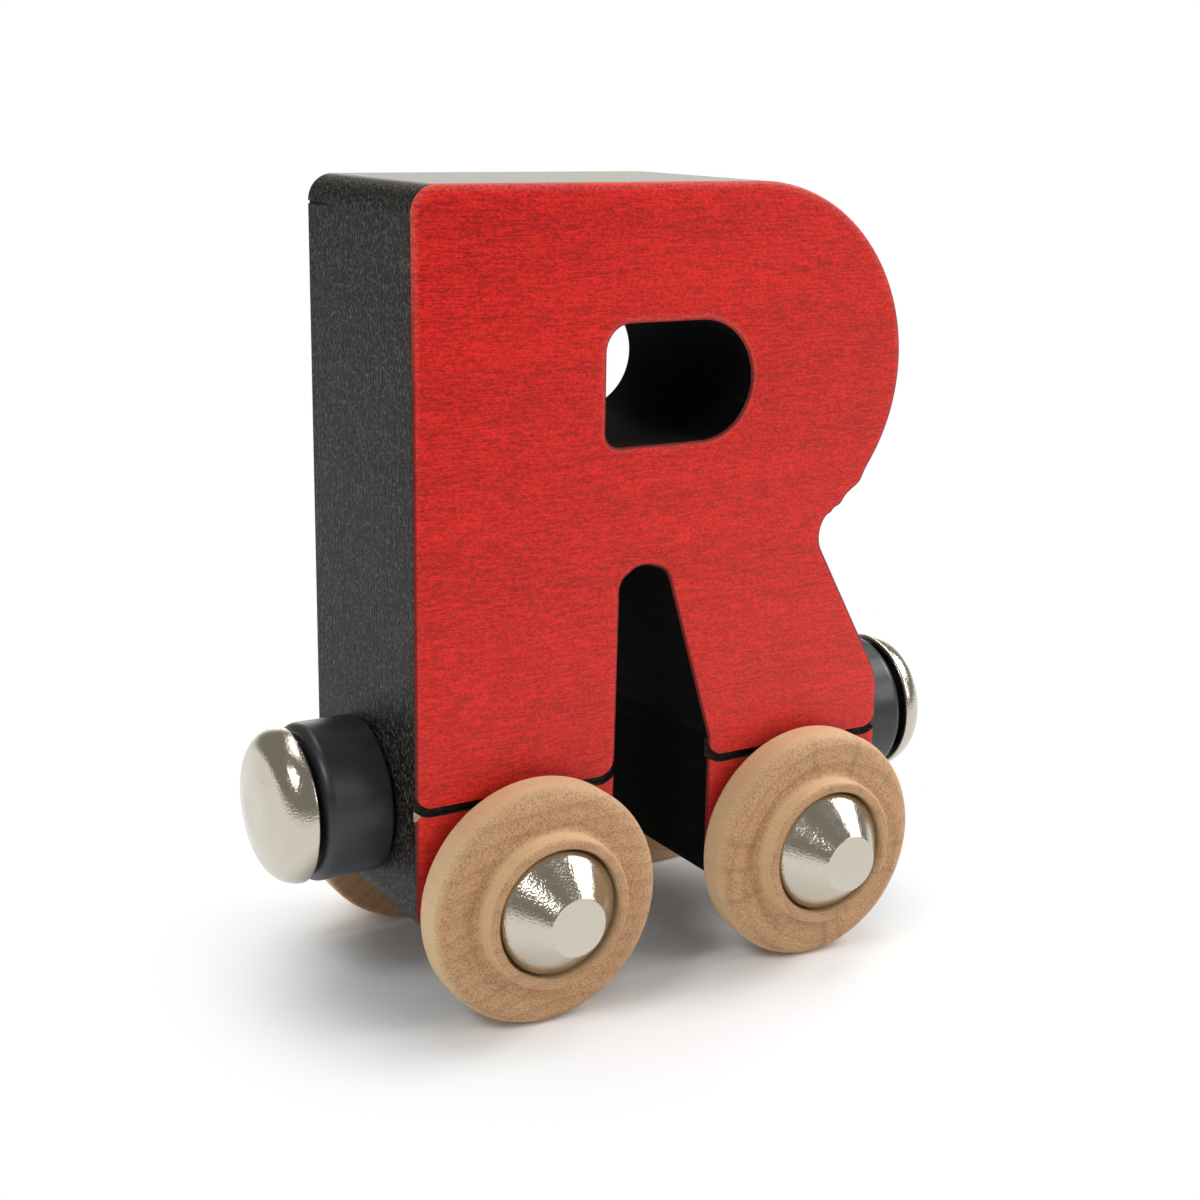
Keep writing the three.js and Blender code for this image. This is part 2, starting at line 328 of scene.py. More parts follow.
face_loops = [inset(loop, ease_radius) for loop in (letter_loop, counter_loop)]
grid_x = np.arange(-end_x, end_x + bowl_overhang, face_grid)
grid_z = np.arange(foot_z, top_z, face_grid)
grid = np.stack(np.meshgrid(grid_x, grid_z), axis=-1).reshape(-1, 2)
in_wood = inside(grid, face_loops[0]) & ~inside(grid, face_loops[1])
grid = grid[in_wood & (nearest_edge(grid, face_loops) > face_grid / 2)]
face_points = [*face_loops[0], *face_loops[1], *(Vector(p) for p in grid)]
turns = np.cumsum([0] + [len(loop) for loop in face_loops])
face_edges = []
for first, loop in zip(turns, face_loops):
    face_edges += [(first + i, first + (i + 1) % len(loop)) for i in range(len(loop))]
spots, _, triangles = delaunay_2d_cdt(face_points, face_edges, [], 1, hair / 10)[:3]
middles = np.array([sum((spots[i] for i in t), Vector((0, 0))) / 3 for t in triangles])
triangles = [t for t, is_hole in zip(triangles, inside(middles, face_loops[1])) if not is_hole]
for y in (-face_y, face_y):
    corners = [mesh.verts.new((p.x, y, p.y)) for p in spots]
    for triangle in triangles:
        mesh.faces.new([corners[i] for i in triangle])
bmesh.ops.remove_doubles(mesh, verts=mesh.verts, dist=hair / 2)
bmesh.ops.recalc_face_normals(mesh, faces=mesh.faces)
letter = bpy.data.objects.new("sawn_letter", bpy.data.meshes.new("sawn_letter"))
mesh.to_mesh(letter.data)
mesh.free()
bpy.context.scene.collection.objects.link(letter)
print("sawn letter:", len(letter.data.vertices), "points,", len(letter.data.polygons), "faces")

# %% [markdown]
# ## Materials: small helpers
# A finish is a graph of nodes. One function turns the sRGB colours that a paint chart would give into the
# linear ones that the renderer adds up. Another adds one node, sets it, and links what feeds it.

# %% Colour and node helpers
def colour(code):
    """An sRGB hex code as a linear colour."""
    channels = [int(code[i:i + 2], 16) / 255 for i in (1, 3, 5)]
    return (*(c / 12.92 if c <= 0.04045 else ((c + 0.055) / 1.055) ** 2.4 for c in channels), 1)


def feed(node, inputs):
    """Gives a node its inputs: a value to set, a socket to link, or a node whose first output is linked."""
    for name, value in inputs.items():
        if isinstance(value, bpy.types.Node):
            value = next(socket for socket in value.outputs if socket.enabled)
        if isinstance(value, bpy.types.NodeSocket):
            node.id_data.links.new(value, node.inputs[name])
        else:
            node.inputs[name].default_value = value


def add(tree, kind, inputs=None, **settings):
    """Adds a node with its settings and its inputs."""
    node = tree.nodes.new(kind)
    for name, value in settings.items():
        setattr(node, name, value)
    feed(node, inputs or {})
    return node


def new_finish(name):
    """An empty material: its node tree, its shader and its coordinates in metres."""
    material = bpy.data.materials.new(name)
    material.use_nodes = True
    tree = material.node_tree
    place = add(tree, "ShaderNodeTexCoord").outputs["Object"]
    return material, tree, tree.nodes["Principled BSDF"], place


def cells(x, y, z):
    """Mapping scale of a pattern whose cells are x by y by z millimetres."""
    return (1 / (x * mm), 1 / (y * mm), 1 / (z * mm))


print("a 50% grey is", round(colour("#808080")[0], 3), "in linear light")

# %% [markdown]
# ## Red stain on maple
# The two faces are stained red and sealed with a thin satin lacquer. Stain doesn't hide the wood: it soaks
# in unevenly, so the grain stays as fine streaks along the board, which runs along the train. Near an
# edge the sandpaper took some colour off again. The streaks are noise stretched along X, and the
# same noise lifts the surface a little, so that the light catches it. A painted sheen lightens the face
# towards the bottom right.

# %% Red stained maple
def red_stained_maple():
    material, tree, shader, place = new_finish("red_stained_maple")
    # Maple fibres are thinner than a hair, so they are drawn a tenth of a millimetre wide to show
    fibre_place = add(tree, "ShaderNodeMapping", {"Vector": place, "Scale": cells(1.6, 1, 0.11)})
    fibres = add(tree, "ShaderNodeTexNoise", {
        "Vector": fibre_place, "Scale": 1, "Detail": 3, "Roughness": 0.6})
    band_place = add(tree, "ShaderNodeMapping", {"Vector": place, "Scale": cells(30, 6, 3)})
    bands = add(tree, "ShaderNodeTexNoise", {"Vector": band_place, "Scale": 1, "Detail": 2})
    fleck_place = add(tree, "ShaderNodeMapping", {"Vector": place, "Scale": cells(0.26, 0.2, 0.16)})
    flecks = add(tree, "ShaderNodeTexNoise", {"Vector": fleck_place, "Scale": 1, "Detail": 1})
    grain = add(tree, "ShaderNodeMath", {0: bands, 1: 0.25, 2: fibres}, operation="MULTIPLY_ADD")
    mottle = add(tree, "ShaderNodeMath", {0: flecks, 1: 0.9, 2: grain}, operation="MULTIPLY_ADD")
    depth = add(tree, "ShaderNodeMapRange", {"Value": mottle, "From Min": 0.84, "From Max": 1.3})
    stain = add(tree, "ShaderNodeMix", {
        "Factor": depth, "A": colour("#980A05"), "B": colour("#E01E14")}, data_type="RGBA")
    # Painted sheen: the face is lighter and pinker towards the bottom right, where a soft box shines on it,
    # and deeper red at the top of the stem
    across = add(tree, "ShaderNodeVectorMath", {0: place, 1: (0.6, 0, -0.8)}, operation="DOT_PRODUCT")
    painted_sheen = add(tree, "ShaderNodeMapRange", {
        "Value": across, "From Min": -60 * mm, "From Max": 0, "To Max": 0.22})
    stain_and_painted_sheen = add(tree, "ShaderNodeMix", {
        "Factor": painted_sheen, "A": stain, "B": colour("#D8645A")}, data_type="RGBA")
    # Worn edge: the last millimetre of the face, broken up by the flecks and strongest near the top
    edge = add(tree, "ShaderNodeAttribute", attribute_name="edge_mm").outputs["Fac"]
    near = add(tree, "ShaderNodeMapRange", {
        "Value": edge, "From Min": 0.05, "From Max": 0.7, "To Min": 0.6, "To Max": 0})
    height = add(tree, "ShaderNodeSeparateXYZ", {0: place}).outputs["Z"]
    handled = add(tree, "ShaderNodeMapRange", {
        "Value": height, "From Min": 40 * mm, "From Max": 60 * mm, "To Min": 0.15})
    rubbed = add(tree, "ShaderNodeMath", {0: near, 1: handled}, operation="MULTIPLY")
    wear = add(tree, "ShaderNodeMath", {0: rubbed, 1: flecks}, operation="MULTIPLY")
    worn = add(tree, "ShaderNodeMix", {
        "Factor": wear, "A": stain_and_painted_sheen, "B": colour("#E0776C")}, data_type="RGBA")
    # Lower down, where fewer hands rub it, the edge keeps a thin scorched line
    rim = add(tree, "ShaderNodeMapRange", {
        "Value": edge, "From Min": 0.14, "From Max": 0.3, "To Min": 0.8, "To Max": 0})
    unrubbed = add(tree, "ShaderNodeMapRange", {
        "Value": height, "From Min": 62 * mm, "From Max": 50 * mm})
    singed = add(tree, "ShaderNodeMath", {0: rim, 1: unrubbed}, operation="MULTIPLY")
    rimmed = add(tree, "ShaderNodeMix", {
        "Factor": singed, "A": worn, "B": colour("#3A1410")}, data_type="RGBA")
    relief = add(tree, "ShaderNodeBump", {"Height": mottle, "Distance": 0.02 * mm, "Strength": 0.5})
    satin = add(tree, "ShaderNodeMapRange", {
        "Value": grain, "From Min": 0.4, "From Max": 0.85, "To Min": 0.5, "To Max": 0.4})
    feed(shader, {"Base Color": rimmed, "Roughness": satin, "Specular IOR Level": 0.2, "Normal": relief})
    return material


red_stain = red_stained_maple()
print("made", red_stain.name)

# %% [markdown]
# ## Blackened edge
# The sawn edges are black all round and have little gloss. Up close they are not even: the blade
# left fine upright lines on the ends, and dust and bare fibre show as grey points. Here and there
# some brown wood comes through. Hands have rubbed the upper side smooth, and from low down it mirrors the
# backdrop. Inside the counter and the gap the cut is scorched, rough and dull, and its darker colour there
# is also painted shade of those recesses.

# %% Blackened maple edge
def blackened_maple():
    material, tree, shader, place = new_finish("blackened_maple_edge")
    saw_place = add(tree, "ShaderNodeMapping", {"Vector": place, "Scale": cells(0.22, 0.22, 5)})
    saw_lines = add(tree, "ShaderNodeTexNoise", {"Vector": saw_place, "Scale": 1, "Detail": 2})
    pore_place = add(tree, "ShaderNodeMapping", {"Vector": place, "Scale": cells(0.16, 0.16, 0.26)})
    pores = add(tree, "ShaderNodeTexNoise", {"Vector": pore_place, "Scale": 1, "Detail": 2})
    brown_place = add(tree, "ShaderNodeMapping", {"Vector": place, "Scale": cells(7, 12, 5)})
    brown = add(tree, "ShaderNodeTexNoise", {"Vector": brown_place, "Scale": 1, "Detail": 3})
    tint = add(tree, "ShaderNodeMapRange", {"Value": brown, "From Min": 0.5, "From Max": 0.75})
    soot = add(tree, "ShaderNodeMix", {
        "Factor": tint, "A": colour("#0D0C0B"), "B": colour("#1E1611")}, data_type="RGBA")
    points = add(tree, "ShaderNodeMapRange", {
        "Value": pores, "From Min": 0.52, "From Max": 0.7, "To Max": 0.7})
    dusty = add(tree, "ShaderNodeMix", {
        "Factor": points, "A": soot, "B": colour("#6E6C68")}, data_type="RGBA")
    # The rubbed upper side: smoother, glossier and with less relief
    normal = add(tree, "ShaderNodeTexCoord").outputs["Normal"]
    facing = add(tree, "ShaderNodeSeparateXYZ", {0: normal}).outputs["Z"]
    rubbed = add(tree, "ShaderNodeMapRange", {"Value": facing, "From Min": 0.93, "From Max": 1})
    roughness = add(tree, "ShaderNodeMapRange", {"Value": rubbed, "To Min": 0.5, "To Max": 0.38})
    gloss = add(tree, "ShaderNodeMapRange", {"Value": rubbed, "To Min": 0.18, "To Max": 0.34})
    strength = add(tree, "ShaderNodeMapRange", {"Value": rubbed, "To Min": 0.8, "To Max": 0.2})
    rough = add(tree, "ShaderNodeMath", {0: saw_lines, 1: pores}, operation="ADD")
    relief = add(tree, "ShaderNodeBump", {"Height": rough, "Distance": 0.1 * mm, "Strength": strength})
    feed(shader, {
        "Base Color": dusty,
        "Roughness": roughness,
        "Specular IOR Level": gloss,
        "Normal": relief,
    })
    return material


def scorch_and_recess_shade():
    # Painted shade: this finish goes only inside the counter and the gap, and its darker colour stands in
    # part for the shade that falls there
    material, tree, shader, place = new_finish("sawn_recess_scorch_and_shade")
    # Blade lines run through the board's thickness, half a millimetre apart
    blade_place = add(tree, "ShaderNodeMapping", {"Vector": place, "Scale": cells(0.5, 8, 0.5)})
    blade = add(tree, "ShaderNodeTexNoise", {"Vector": blade_place, "Scale": 1, "Detail": 2})
    ash = add(tree, "ShaderNodeMapRange", {"Value": blade, "From Min": 0.6, "From Max": 0.8})
    burnt = add(tree, "ShaderNodeMix", {
        "Factor": ash, "A": colour("#060505"), "B": colour("#1A1613")}, data_type="RGBA")
    relief = add(tree, "ShaderNodeBump", {"Height": blade, "Distance": 0.05 * mm})
    feed(shader, {"Base Color": burnt, "Roughness": 0.95, "Specular IOR Level": 0.1, "Normal": relief})
    return material


black_edge = blackened_maple()
recess_edge_scorch_and_shade = scorch_and_recess_shade()
print("made", black_edge.name, "and", recess_edge_scorch_and_shade.name)

# %% [markdown]
# ## Charred line and bare wood
# The line across each foot was burnt in with a hot tool, so it is matt, brown-black and a little
# crumbly. Where a splinter broke off at its end, and inside the drilled holes, pale maple shows.

# %% Charred wood and bare maple
def charred_wood():
    material, tree, shader, place = new_finish("charred_maple")
    crumb_place = add(tree, "ShaderNodeMapping", {"Vector": place, "Scale": cells(0.3, 0.2, 0.2)})
    crumbs = add(tree, "ShaderNodeTexNoise", {"Vector": crumb_place, "Scale": 1, "Detail": 3})
    burnt = add(tree, "ShaderNodeMapRange", {"Value": crumbs, "From Min": 0.5, "From Max": 0.8})
    char = add(tree, "ShaderNodeMix", {
        "Factor": burnt, "A": colour("#120C09"), "B": colour("#4A3526")}, data_type="RGBA")
    relief = add(tree, "ShaderNodeBump", {"Height": crumbs, "Distance": 0.08 * mm})
    feed(shader, {"Base Color": char, "Roughness": 0.8, "Normal": relief})
    return material


def bare_maple():
    material, tree, shader, place = new_finish("bare_maple")
    splinter_place = add(tree, "ShaderNodeMapping", {"Vector": place, "Scale": cells(1.2, 0.3, 0.25)})
    splinters = add(tree, "ShaderNodeTexNoise", {"Vector": splinter_place, "Scale": 1, "Detail": 3})
    wood = add(tree, "ShaderNodeMix", {
        "Factor": splinters, "A": colour("#8F7458"), "B": colour("#DBC3A2")}, data_type="RGBA")
    relief = add(tree, "ShaderNodeBump", {"Height": splinters, "Distance": 0.1 * mm})
    feed(shader, {"Base Color": wood, "Roughness": 0.75, "Normal": relief})
    return material


char = charred_wood()
raw_wood = bare_maple()
print("made", char.name, "and", raw_wood.name)

# %% [markdown]
# ## Cutting the block
# The burnt line is a real groove under the letter's round lower corners, and the pins sit in drilled
# holes. A boolean modifier cuts with another mesh, and it can hand the cutter's material to the new faces.
# So each cutter carries the finish of the cut that it makes: char for the line and for a step that the saw
# left, bare wood for the holes and for a splinter that broke away.

# %% Cutters
baseline_z = 18.5 * mm
groove_width = 0.75 * mm
groove_depth = 0.6 * mm
groove_corner_radius = 1.5 * mm
axle_radius = 1.25 * mm
coupler_pin_radius = 1.4 * mm
hole_play = 0.2 * mm


def prism(name, loop, low, high, material, matrix=Matrix()):
    """A closed cutter: a flat loop of (x, y) points pushed along Z, then placed by a matrix."""
    solid = bmesh.new()
    ends = [[solid.verts.new((p[0], p[1], z)) for p in loop] for z in (low, high)]
    for i in range(len(loop)):
        solid.faces.new((ends[0][i - 1], ends[0][i], ends[1][i], ends[1][i - 1]))
    for end in ends:
        solid.faces.new(end)
    bmesh.ops.recalc_face_normals(solid, faces=solid.faces)
    solid.transform(matrix)
    cutter = bpy.data.objects.new(name, bpy.data.meshes.new(name))
    solid.to_mesh(cutter.data)
    solid.free()
    cutter.data.materials.append(material)
    bpy.context.scene.collection.objects.link(cutter)
    return cutter


def groove_loop(left_x, right_x):
    top = baseline_z + groove_corner_radius
    low = baseline_z - groove_width
    outer_radius = groove_corner_radius + groove_width
    return outline([
        (left_x - groove_width, top),
        (left_x - groove_width, low, outer_radius),
        (right_x + groove_width, low, outer_radius),
        (right_x + groove_width, top),
        (right_x, top),
        (right_x, baseline_z, groove_corner_radius),
        (left_x, baseline_z, groove_corner_radius),
        (left_x, top),
    ])


# The flat loop's second axis is turned up to Z, so its depth runs along -Y
upright = Matrix.Rotation(math.pi / 2, 4, "X")
cutters = []
for y in (-face_y, face_y):
    for left_x, right_x in ((-end_x, gap_left_x), (gap_right_x, end_x)):
        loop = groove_loop(left_x, right_x)
        cutters.append(prism("line_cutter", loop, -y - groove_depth, -y + groove_depth, char, upright))

# Where the burnt line meets the front edge of the stem a splinter broke away
splinter_width = 0.55 * mm
splinter_height = 1.2 * mm
splinter_depth = 0.45 * mm
splinter_top = baseline_z + 0.1 * mm
spare = 0.1 * mm
splinter = [
    (-end_x - spare, splinter_top),
    (-end_x - spare, splinter_top - splinter_height),
    (-end_x + splinter_width, splinter_top - splinter_height / 3),
]
splinter_floor = face_y - splinter_depth
cutters.append(prism("splinter_cutter", splinter, splinter_floor, face_y + spare, raw_wood, upright))

# The saw left a shallow step across the back half of the stem's end, where the top corner begins
step_start = 1 * mm
step_depth = 0.22 * mm
step_height = 0.25 * mm
step_z = top_z - stem_corner_radius - step_height
step = [
    (-end_x - spare, step_start),
    (-end_x - spare, face_y + spare),
    (-end_x + step_depth, face_y + spare),
]
cutters.append(prism("step_cutter", step, step_z, step_z + step_height, char))

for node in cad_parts:
    if node.endswith("_pin"):
        low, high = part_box(node)
        middle = (low + high) / 2
        along = "X" if "coupler" in node else "Y"
        shank = {"X": coupler_pin_radius, "Y": axle_radius}[along]
        circle = arc((0, 0), shank + hole_play, 0, 2 * math.pi)[:-1]
        turn = Matrix.Rotation(math.pi / 2, 4, {"X": "Y", "Y": "X"}[along])
        reach = (high - low).dot(Vector((along == "X", along == "Y", 0))) / 2 + hole_play
        place = Matrix.Translation(middle) @ turn
        cutters.append(prism("hole_cutter", circle, -reach, reach, raw_wood, place))
print(len(cutters), "cutters")

# %% Cut, and mark the finishes
letter.data.materials.append(red_stain)
letter.data.materials.append(black_edge)
letter.data.materials.append(recess_edge_scorch_and_shade)
for cutter in cutters:
    cut = letter.modifiers.new("cut", "BOOLEAN")
    cut.object = cutter
    cut.solver = "EXACT"
    cut.material_mode = "TRANSFER"
evaluated = letter.evaluated_get(bpy.context.evaluated_depsgraph_get())
cut_mesh = bpy.data.meshes.new_from_object(evaluated)
letter.modifiers.clear()
letter.data = cut_mesh
for cutter in cutters:
    bpy.data.objects.remove(cutter)

slots = {material.name: i for i, material in enumerate(letter.data.materials)}
counter_centre = Vector((counter_left + counter_right, counter_bottom + counter_top)) / 2
counter_reach = Vector((counter_length, counter_height)) / 2 + Vector((ease_radius, ease_radius))
# The stain runs over the first steps of the eased edge, and a little more for rounding
stained_steps = 3
face_rim = face_y - ease_radius * (1 - math.cos(roll[stained_steps])) * 1.01
for polygon in letter.data.polygons:
    is_cut = polygon.material_index in (slots[char.name], slots[raw_wood.name])
    on_face = abs(polygon.center.y) > face_rim
    x, z = polygon.center.x, polygon.center.z
    in_counter = abs(x - counter_centre.x) < counter_reach.x and abs(z - counter_centre.y) < counter_reach.y
    in_gap = gap_left_x < x + ease_radius and x < gap_right_x + ease_radius and z < gap_top_z + ease_radius
    if not is_cut:
        # Inside the counter and the gap the darker finish is scorch and also painted shade of the recesses
        edge_finish = recess_edge_scorch_and_shade if in_counter or in_gap else black_edge
        polygon.material_index = slots[red_stain.name if on_face else edge_finish.name]
    polygon.use_smooth = abs(polygon.normal.y) < 0.999
letter.data.set_sharp_from_angle(angle=math.radians(40))
places = np.array([v.co for v in letter.data.vertices])
edge_mm = nearest_edge(places[:, [0, 2]], [letter_loop, counter_loop]) / mm
edge_values = letter.data.attributes.new("edge_mm", "FLOAT", "POINT")
edge_values.data.foreach_set("value", edge_mm.astype(np.float32))
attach(letter, "letter")
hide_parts("letter_block")
print("cut letter:", len(letter.data.polygons), "faces in", len(slots), "finishes")

# %% [markdown]
# ## Turning on a lathe
# Wheels, pins, sleeves and caps are all round, so one function plays the lathe. It takes half a section
# as corners with radii, measured from the axis and along it, and sweeps it round. Two extra
# points close to the ends of each straight stretch keep flats flat and cones straight in the shading.

# %% Lathe
hold = 0.04 * mm


def held_straight(points, closed):
    """The section with a point close to both ends of each long straight stretch."""
    kept = []
    for i, point in enumerate(points):
        kept.append(point)
        if i + 1 == len(points) and not closed:
            break
        run = points[(i + 1) % len(points)] - point
        if run.length > 6 * hold:
            kept += [point + run.normalized() * hold, point + run - run.normalized() * hold]
    return kept


def turned(name, section, centre, outward, material, segments=160):
    """A piece turned from a section of (radius, height) points and (radius, height, rounding) corners."""
    closed = all(corner[0] > 0 for corner in section)
    points = held_straight(outline(section), closed)
    piece = bmesh.new()
    rings = []
    for point in points:
        if point.x < hair:
            rings.append([piece.verts.new((0, 0, point.y))] * segments)
        else:
            angles = [2 * math.pi * i / segments for i in range(segments)]
            rings.append([
                piece.verts.new((point.x * math.cos(a), point.x * math.sin(a), point.y)) for a in angles])
    pairs = list(zip(rings, rings[1:])) + ([(rings[-1], rings[0])] if closed else [])
    for low, high in pairs:
        for i in range(segments):
            around = [low[i - 1], low[i], high[i], high[i - 1]]
            corners = [v for j, v in enumerate(around) if v is not around[j - 1]]
            if len(corners) > 2:
                piece.faces.new(corners)
    bmesh.ops.recalc_face_normals(piece, faces=piece.faces)
    turned_piece = bpy.data.objects.new(name, bpy.data.meshes.new(name))
    piece.to_mesh(turned_piece.data)
    piece.free()
    turned_piece.data.shade_smooth()
    turned_piece.data.set_sharp_from_angle(angle=math.radians(35))
    turned_piece.data.materials.append(material)
    turn = outward.to_track_quat("Z", "Y").to_matrix().to_4x4()
    turned_piece.matrix_world = Matrix.Translation(centre) @ turn
    bpy.context.scene.collection.objects.link(turned_piece)
    return turned_piece


print("lathe ready")

# %% [markdown]
# ## Turned maple
# The wheels are cut from a maple dowel, so their faces show end grain: growth rings cross them as
# faint arcs, rays cross the rings as thin broken lines, and pores end in them as tiny dark points. On
# the tread the same pores run along the axle as fine lines, and the wood is paler there. One solid pattern
# gives all this: rings about a pith that lies beside the wheel, and pores that are long along the axle.
# Each wheel gets its own pith. One wheel was cut close to its pith, and its rays show most.

# %% Turned maple
ring_width = 1.5
rays_at_pith = 40
rays_per_mm = 8


def turned_maple(name, pith, ray_depth):
    """Maple with its pith at (x, y) from the wheel's middle, in millimetres."""
    material, tree, shader, place = new_finish("turned_maple_" + name)
    from_pith = add(tree, "ShaderNodeMapping", {
        "Vector": place, "Location": (-pith[0], -pith[1], 0), "Scale": cells(1, 1, 25)})
    # A wave of scale 1 has a period of a twentieth of a full turn
    rings = add(tree, "ShaderNodeTexWave", {
        "Vector": from_pith, "Scale": math.tau / 20 / ring_width, "Distortion": 2.2, "Detail": 2,
        "Detail Scale": 0.5}, wave_type="RINGS", rings_direction="Z", wave_profile="SAW")
    # Pores are a tenth of a millimetre wide, drawn a little coarser so that they show
    pore_place = add(tree, "ShaderNodeMapping", {"Vector": place, "Scale": cells(0.13, 0.13, 0.5)})
    pores = add(tree, "ShaderNodeTexNoise", {"Vector": pore_place, "Scale": 1, "Detail": 2})
    cloud_place = add(tree, "ShaderNodeMapping", {"Vector": place, "Scale": cells(4, 4, 12)})
    clouds = add(tree, "ShaderNodeTexNoise", {"Vector": cloud_place, "Scale": 1, "Detail": 2})
    late = add(tree, "ShaderNodeMapRange", {
        "Value": rings.outputs["Fac"], "From Min": 0.55, "From Max": 1, "To Max": 0.45})
    wood = add(tree, "ShaderNodeMix", {
        "Factor": late, "A": colour("#C79D73"), "B": colour("#9F7551")}, data_type="RGBA")
    shade = add(tree, "ShaderNodeMapRange", {
        "Value": clouds, "From Min": 0.35, "From Max": 0.65, "To Max": 0.35})
    warm = add(tree, "ShaderNodeMix", {
        "Factor": shade, "A": wood, "B": colour("#B3845C")}, data_type="RGBA")
    dots = add(tree, "ShaderNodeMapRange", {
        "Value": pores, "From Min": 0.54, "From Max": 0.36, "To Max": 0.6})
    pored = add(tree, "ShaderNodeMix", {
        "Factor": dots, "A": warm, "B": colour("#6C4A2F")}, data_type="RGBA")
    # Rays run out from the pith as thin broken lines, more of them to a turn where the pith is further off
    ray_count = rays_at_pith + rays_per_mm * math.hypot(*pith)
    turn = add(tree, "ShaderNodeTexGradient", {"Vector": from_pith}, gradient_type="RADIAL")
    spokes = add(tree, "ShaderNodeTexNoise", {
        "W": turn.outputs["Fac"], "Scale": ray_count, "Detail": 0}, noise_dimensions="1D")
    thin = add(tree, "ShaderNodeMapRange", {
        "Value": spokes, "From Min": 0.66, "From Max": 0.74, "To Max": ray_depth})
    broken = add(tree, "ShaderNodeMath", {0: thin, 1: clouds}, operation="MULTIPLY")
    rayed = add(tree, "ShaderNodeMix", {
        "Factor": broken, "A": pored, "B": colour("#7A5A3E")}, data_type="RGBA")
    # The tread shows long grain, which is paler than the end grain of the face
    normal = add(tree, "ShaderNodeTexCoord").outputs["Normal"]
    facing = add(tree, "ShaderNodeSeparateXYZ", {0: normal}).outputs["Z"]
    squareness = add(tree, "ShaderNodeMath", {0: facing}, operation="ABSOLUTE")
    long_grain = add(tree, "ShaderNodeMapRange", {
        "Value": squareness, "From Min": 0.85, "From Max": 0.1, "To Max": 0.7})
    turned_wood = add(tree, "ShaderNodeMix", {
        "Factor": long_grain, "A": rayed, "B": colour("#E6C79C")}, data_type="RGBA")
    relief = add(tree, "ShaderNodeBump", {"Height": pores, "Distance": 0.03 * mm, "Strength": 0.5})
    feed(shader, {"Base Color": turned_wood, "Roughness": 0.6, "Normal": relief})
    return material


piths = {
    "front_left": (3, -38),
    "front_right": (1, -1.5),
    "back_left": (24, 20),
    "back_right": (-12, 33),
}
maples = {}
for station, pith in piths.items():
    ray_depth = 0.5 if station == "front_right" else 0.1
    maples[station] = turned_maple(station, pith, ray_depth)
print("made", len(maples), "cuts of turned maple")

# %% [markdown]
# ## Wheels
# A wheel is a rim with a raised ring round the axle head. The front edge of the rim is well rounded and
# the face is slightly hollow, as a gouge leaves it. The radius and place of each wheel come from the frame.

# %% Wheel meshes
rim_width = 3.55 * mm
rim_front_radius = 1.2 * mm
rim_back_radius = 0.5 * mm
face_dish = 0.4 * mm
hub_radius = 6.3 * mm
hub_fillet_radius = 0.6 * mm
hub_edge_radius = 0.4 * mm
recess_radius = 5.4 * mm
recess_depth = 2.1 * mm
recess_floor_radius = 0.4 * mm
bore_radius = 1.5 * mm

sides = {"front": Vector((0, -1, 0)), "back": Vector((0, 1, 0))}
stations = [(side, end) for side in sides for end in ("left", "right")]


def wheel_section(radius, hub_length):
    recess_floor = hub_length - recess_depth
    return [
        (bore_radius, 0),
        (radius, 0, rim_back_radius),
        (radius, rim_width, rim_front_radius),
        (hub_radius, rim_width - face_dish, hub_fillet_radius),
        (hub_radius, hub_length, hub_edge_radius),
        (recess_radius, hub_length, hub_edge_radius / 2),
        (recess_radius, recess_floor, recess_floor_radius),
        (bore_radius, recess_floor),
    ]


for side, end in stations:
    node = f"{side}_{end}_wheel"
    low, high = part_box(node)
    outward = sides[side]
    radius = (high.z - low.z) / 2
    back = (low + high) / 2 - outward * (high.y - low.y) / 2
    section = wheel_section(radius, high.y - low.y)
    wheel = turned(f"{side}_{end}_turned_wheel", section, back, outward, maples[f"{side}_{end}"])
    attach(wheel, node)
    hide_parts(node)
print("wheels:", len(stations), "of radius", round(radius / mm, 2), "mm")

# %% [markdown]
# ## Bright nickel
# The axle heads and the coupler caps are steel with bright nickel plate. Nickel is a little yellower than
# chrome. Plating over pressed steel is never a perfect mirror: shallow dimples break up dark
# reflections into specks, and bright ones stay calm. The dimples are a fine bump, and their
# slope decides how broken a reflection looks.

# %% Nickel plate
def nickel_plate():
    material, tree, shader, place = new_finish("bright_nickel_plate")
    dimple_place = add(tree, "ShaderNodeMapping", {"Vector": place, "Scale": cells(0.18, 0.18, 0.18)})
    dimples = add(tree, "ShaderNodeTexNoise", {"Vector": dimple_place, "Scale": 1, "Detail": 2})
    relief = add(tree, "ShaderNodeBump", {"Height": dimples, "Distance": 0.03 * mm})
    haze = add(tree, "ShaderNodeMapRange", {
        "Value": dimples, "From Min": 0.3, "From Max": 0.7, "To Min": 0.1, "To Max": 0.2})
    feed(shader, {"Base Color": colour("#CDC6B8"), "Metallic": 1, "Roughness": haze, "Normal": relief})
    return material


nickel = nickel_plate()
print("made", nickel.name)

# %% [markdown]
# ## Axle pins
# Each wheel runs on its own pin, which is driven into the board. Its head is a blunt cone with a flat
# tip, and it sits in the wheel's recess with room to turn. The head's base is softly rounded.

# %% Axle pin meshes
head_radius = 5.1 * mm
head_skirt = 1.35 * mm
head_rounding = 0.35 * mm
cone_height = 3.1 * mm
tip_radius = 2.4 * mm
tip_rounding = 0.2 * mm

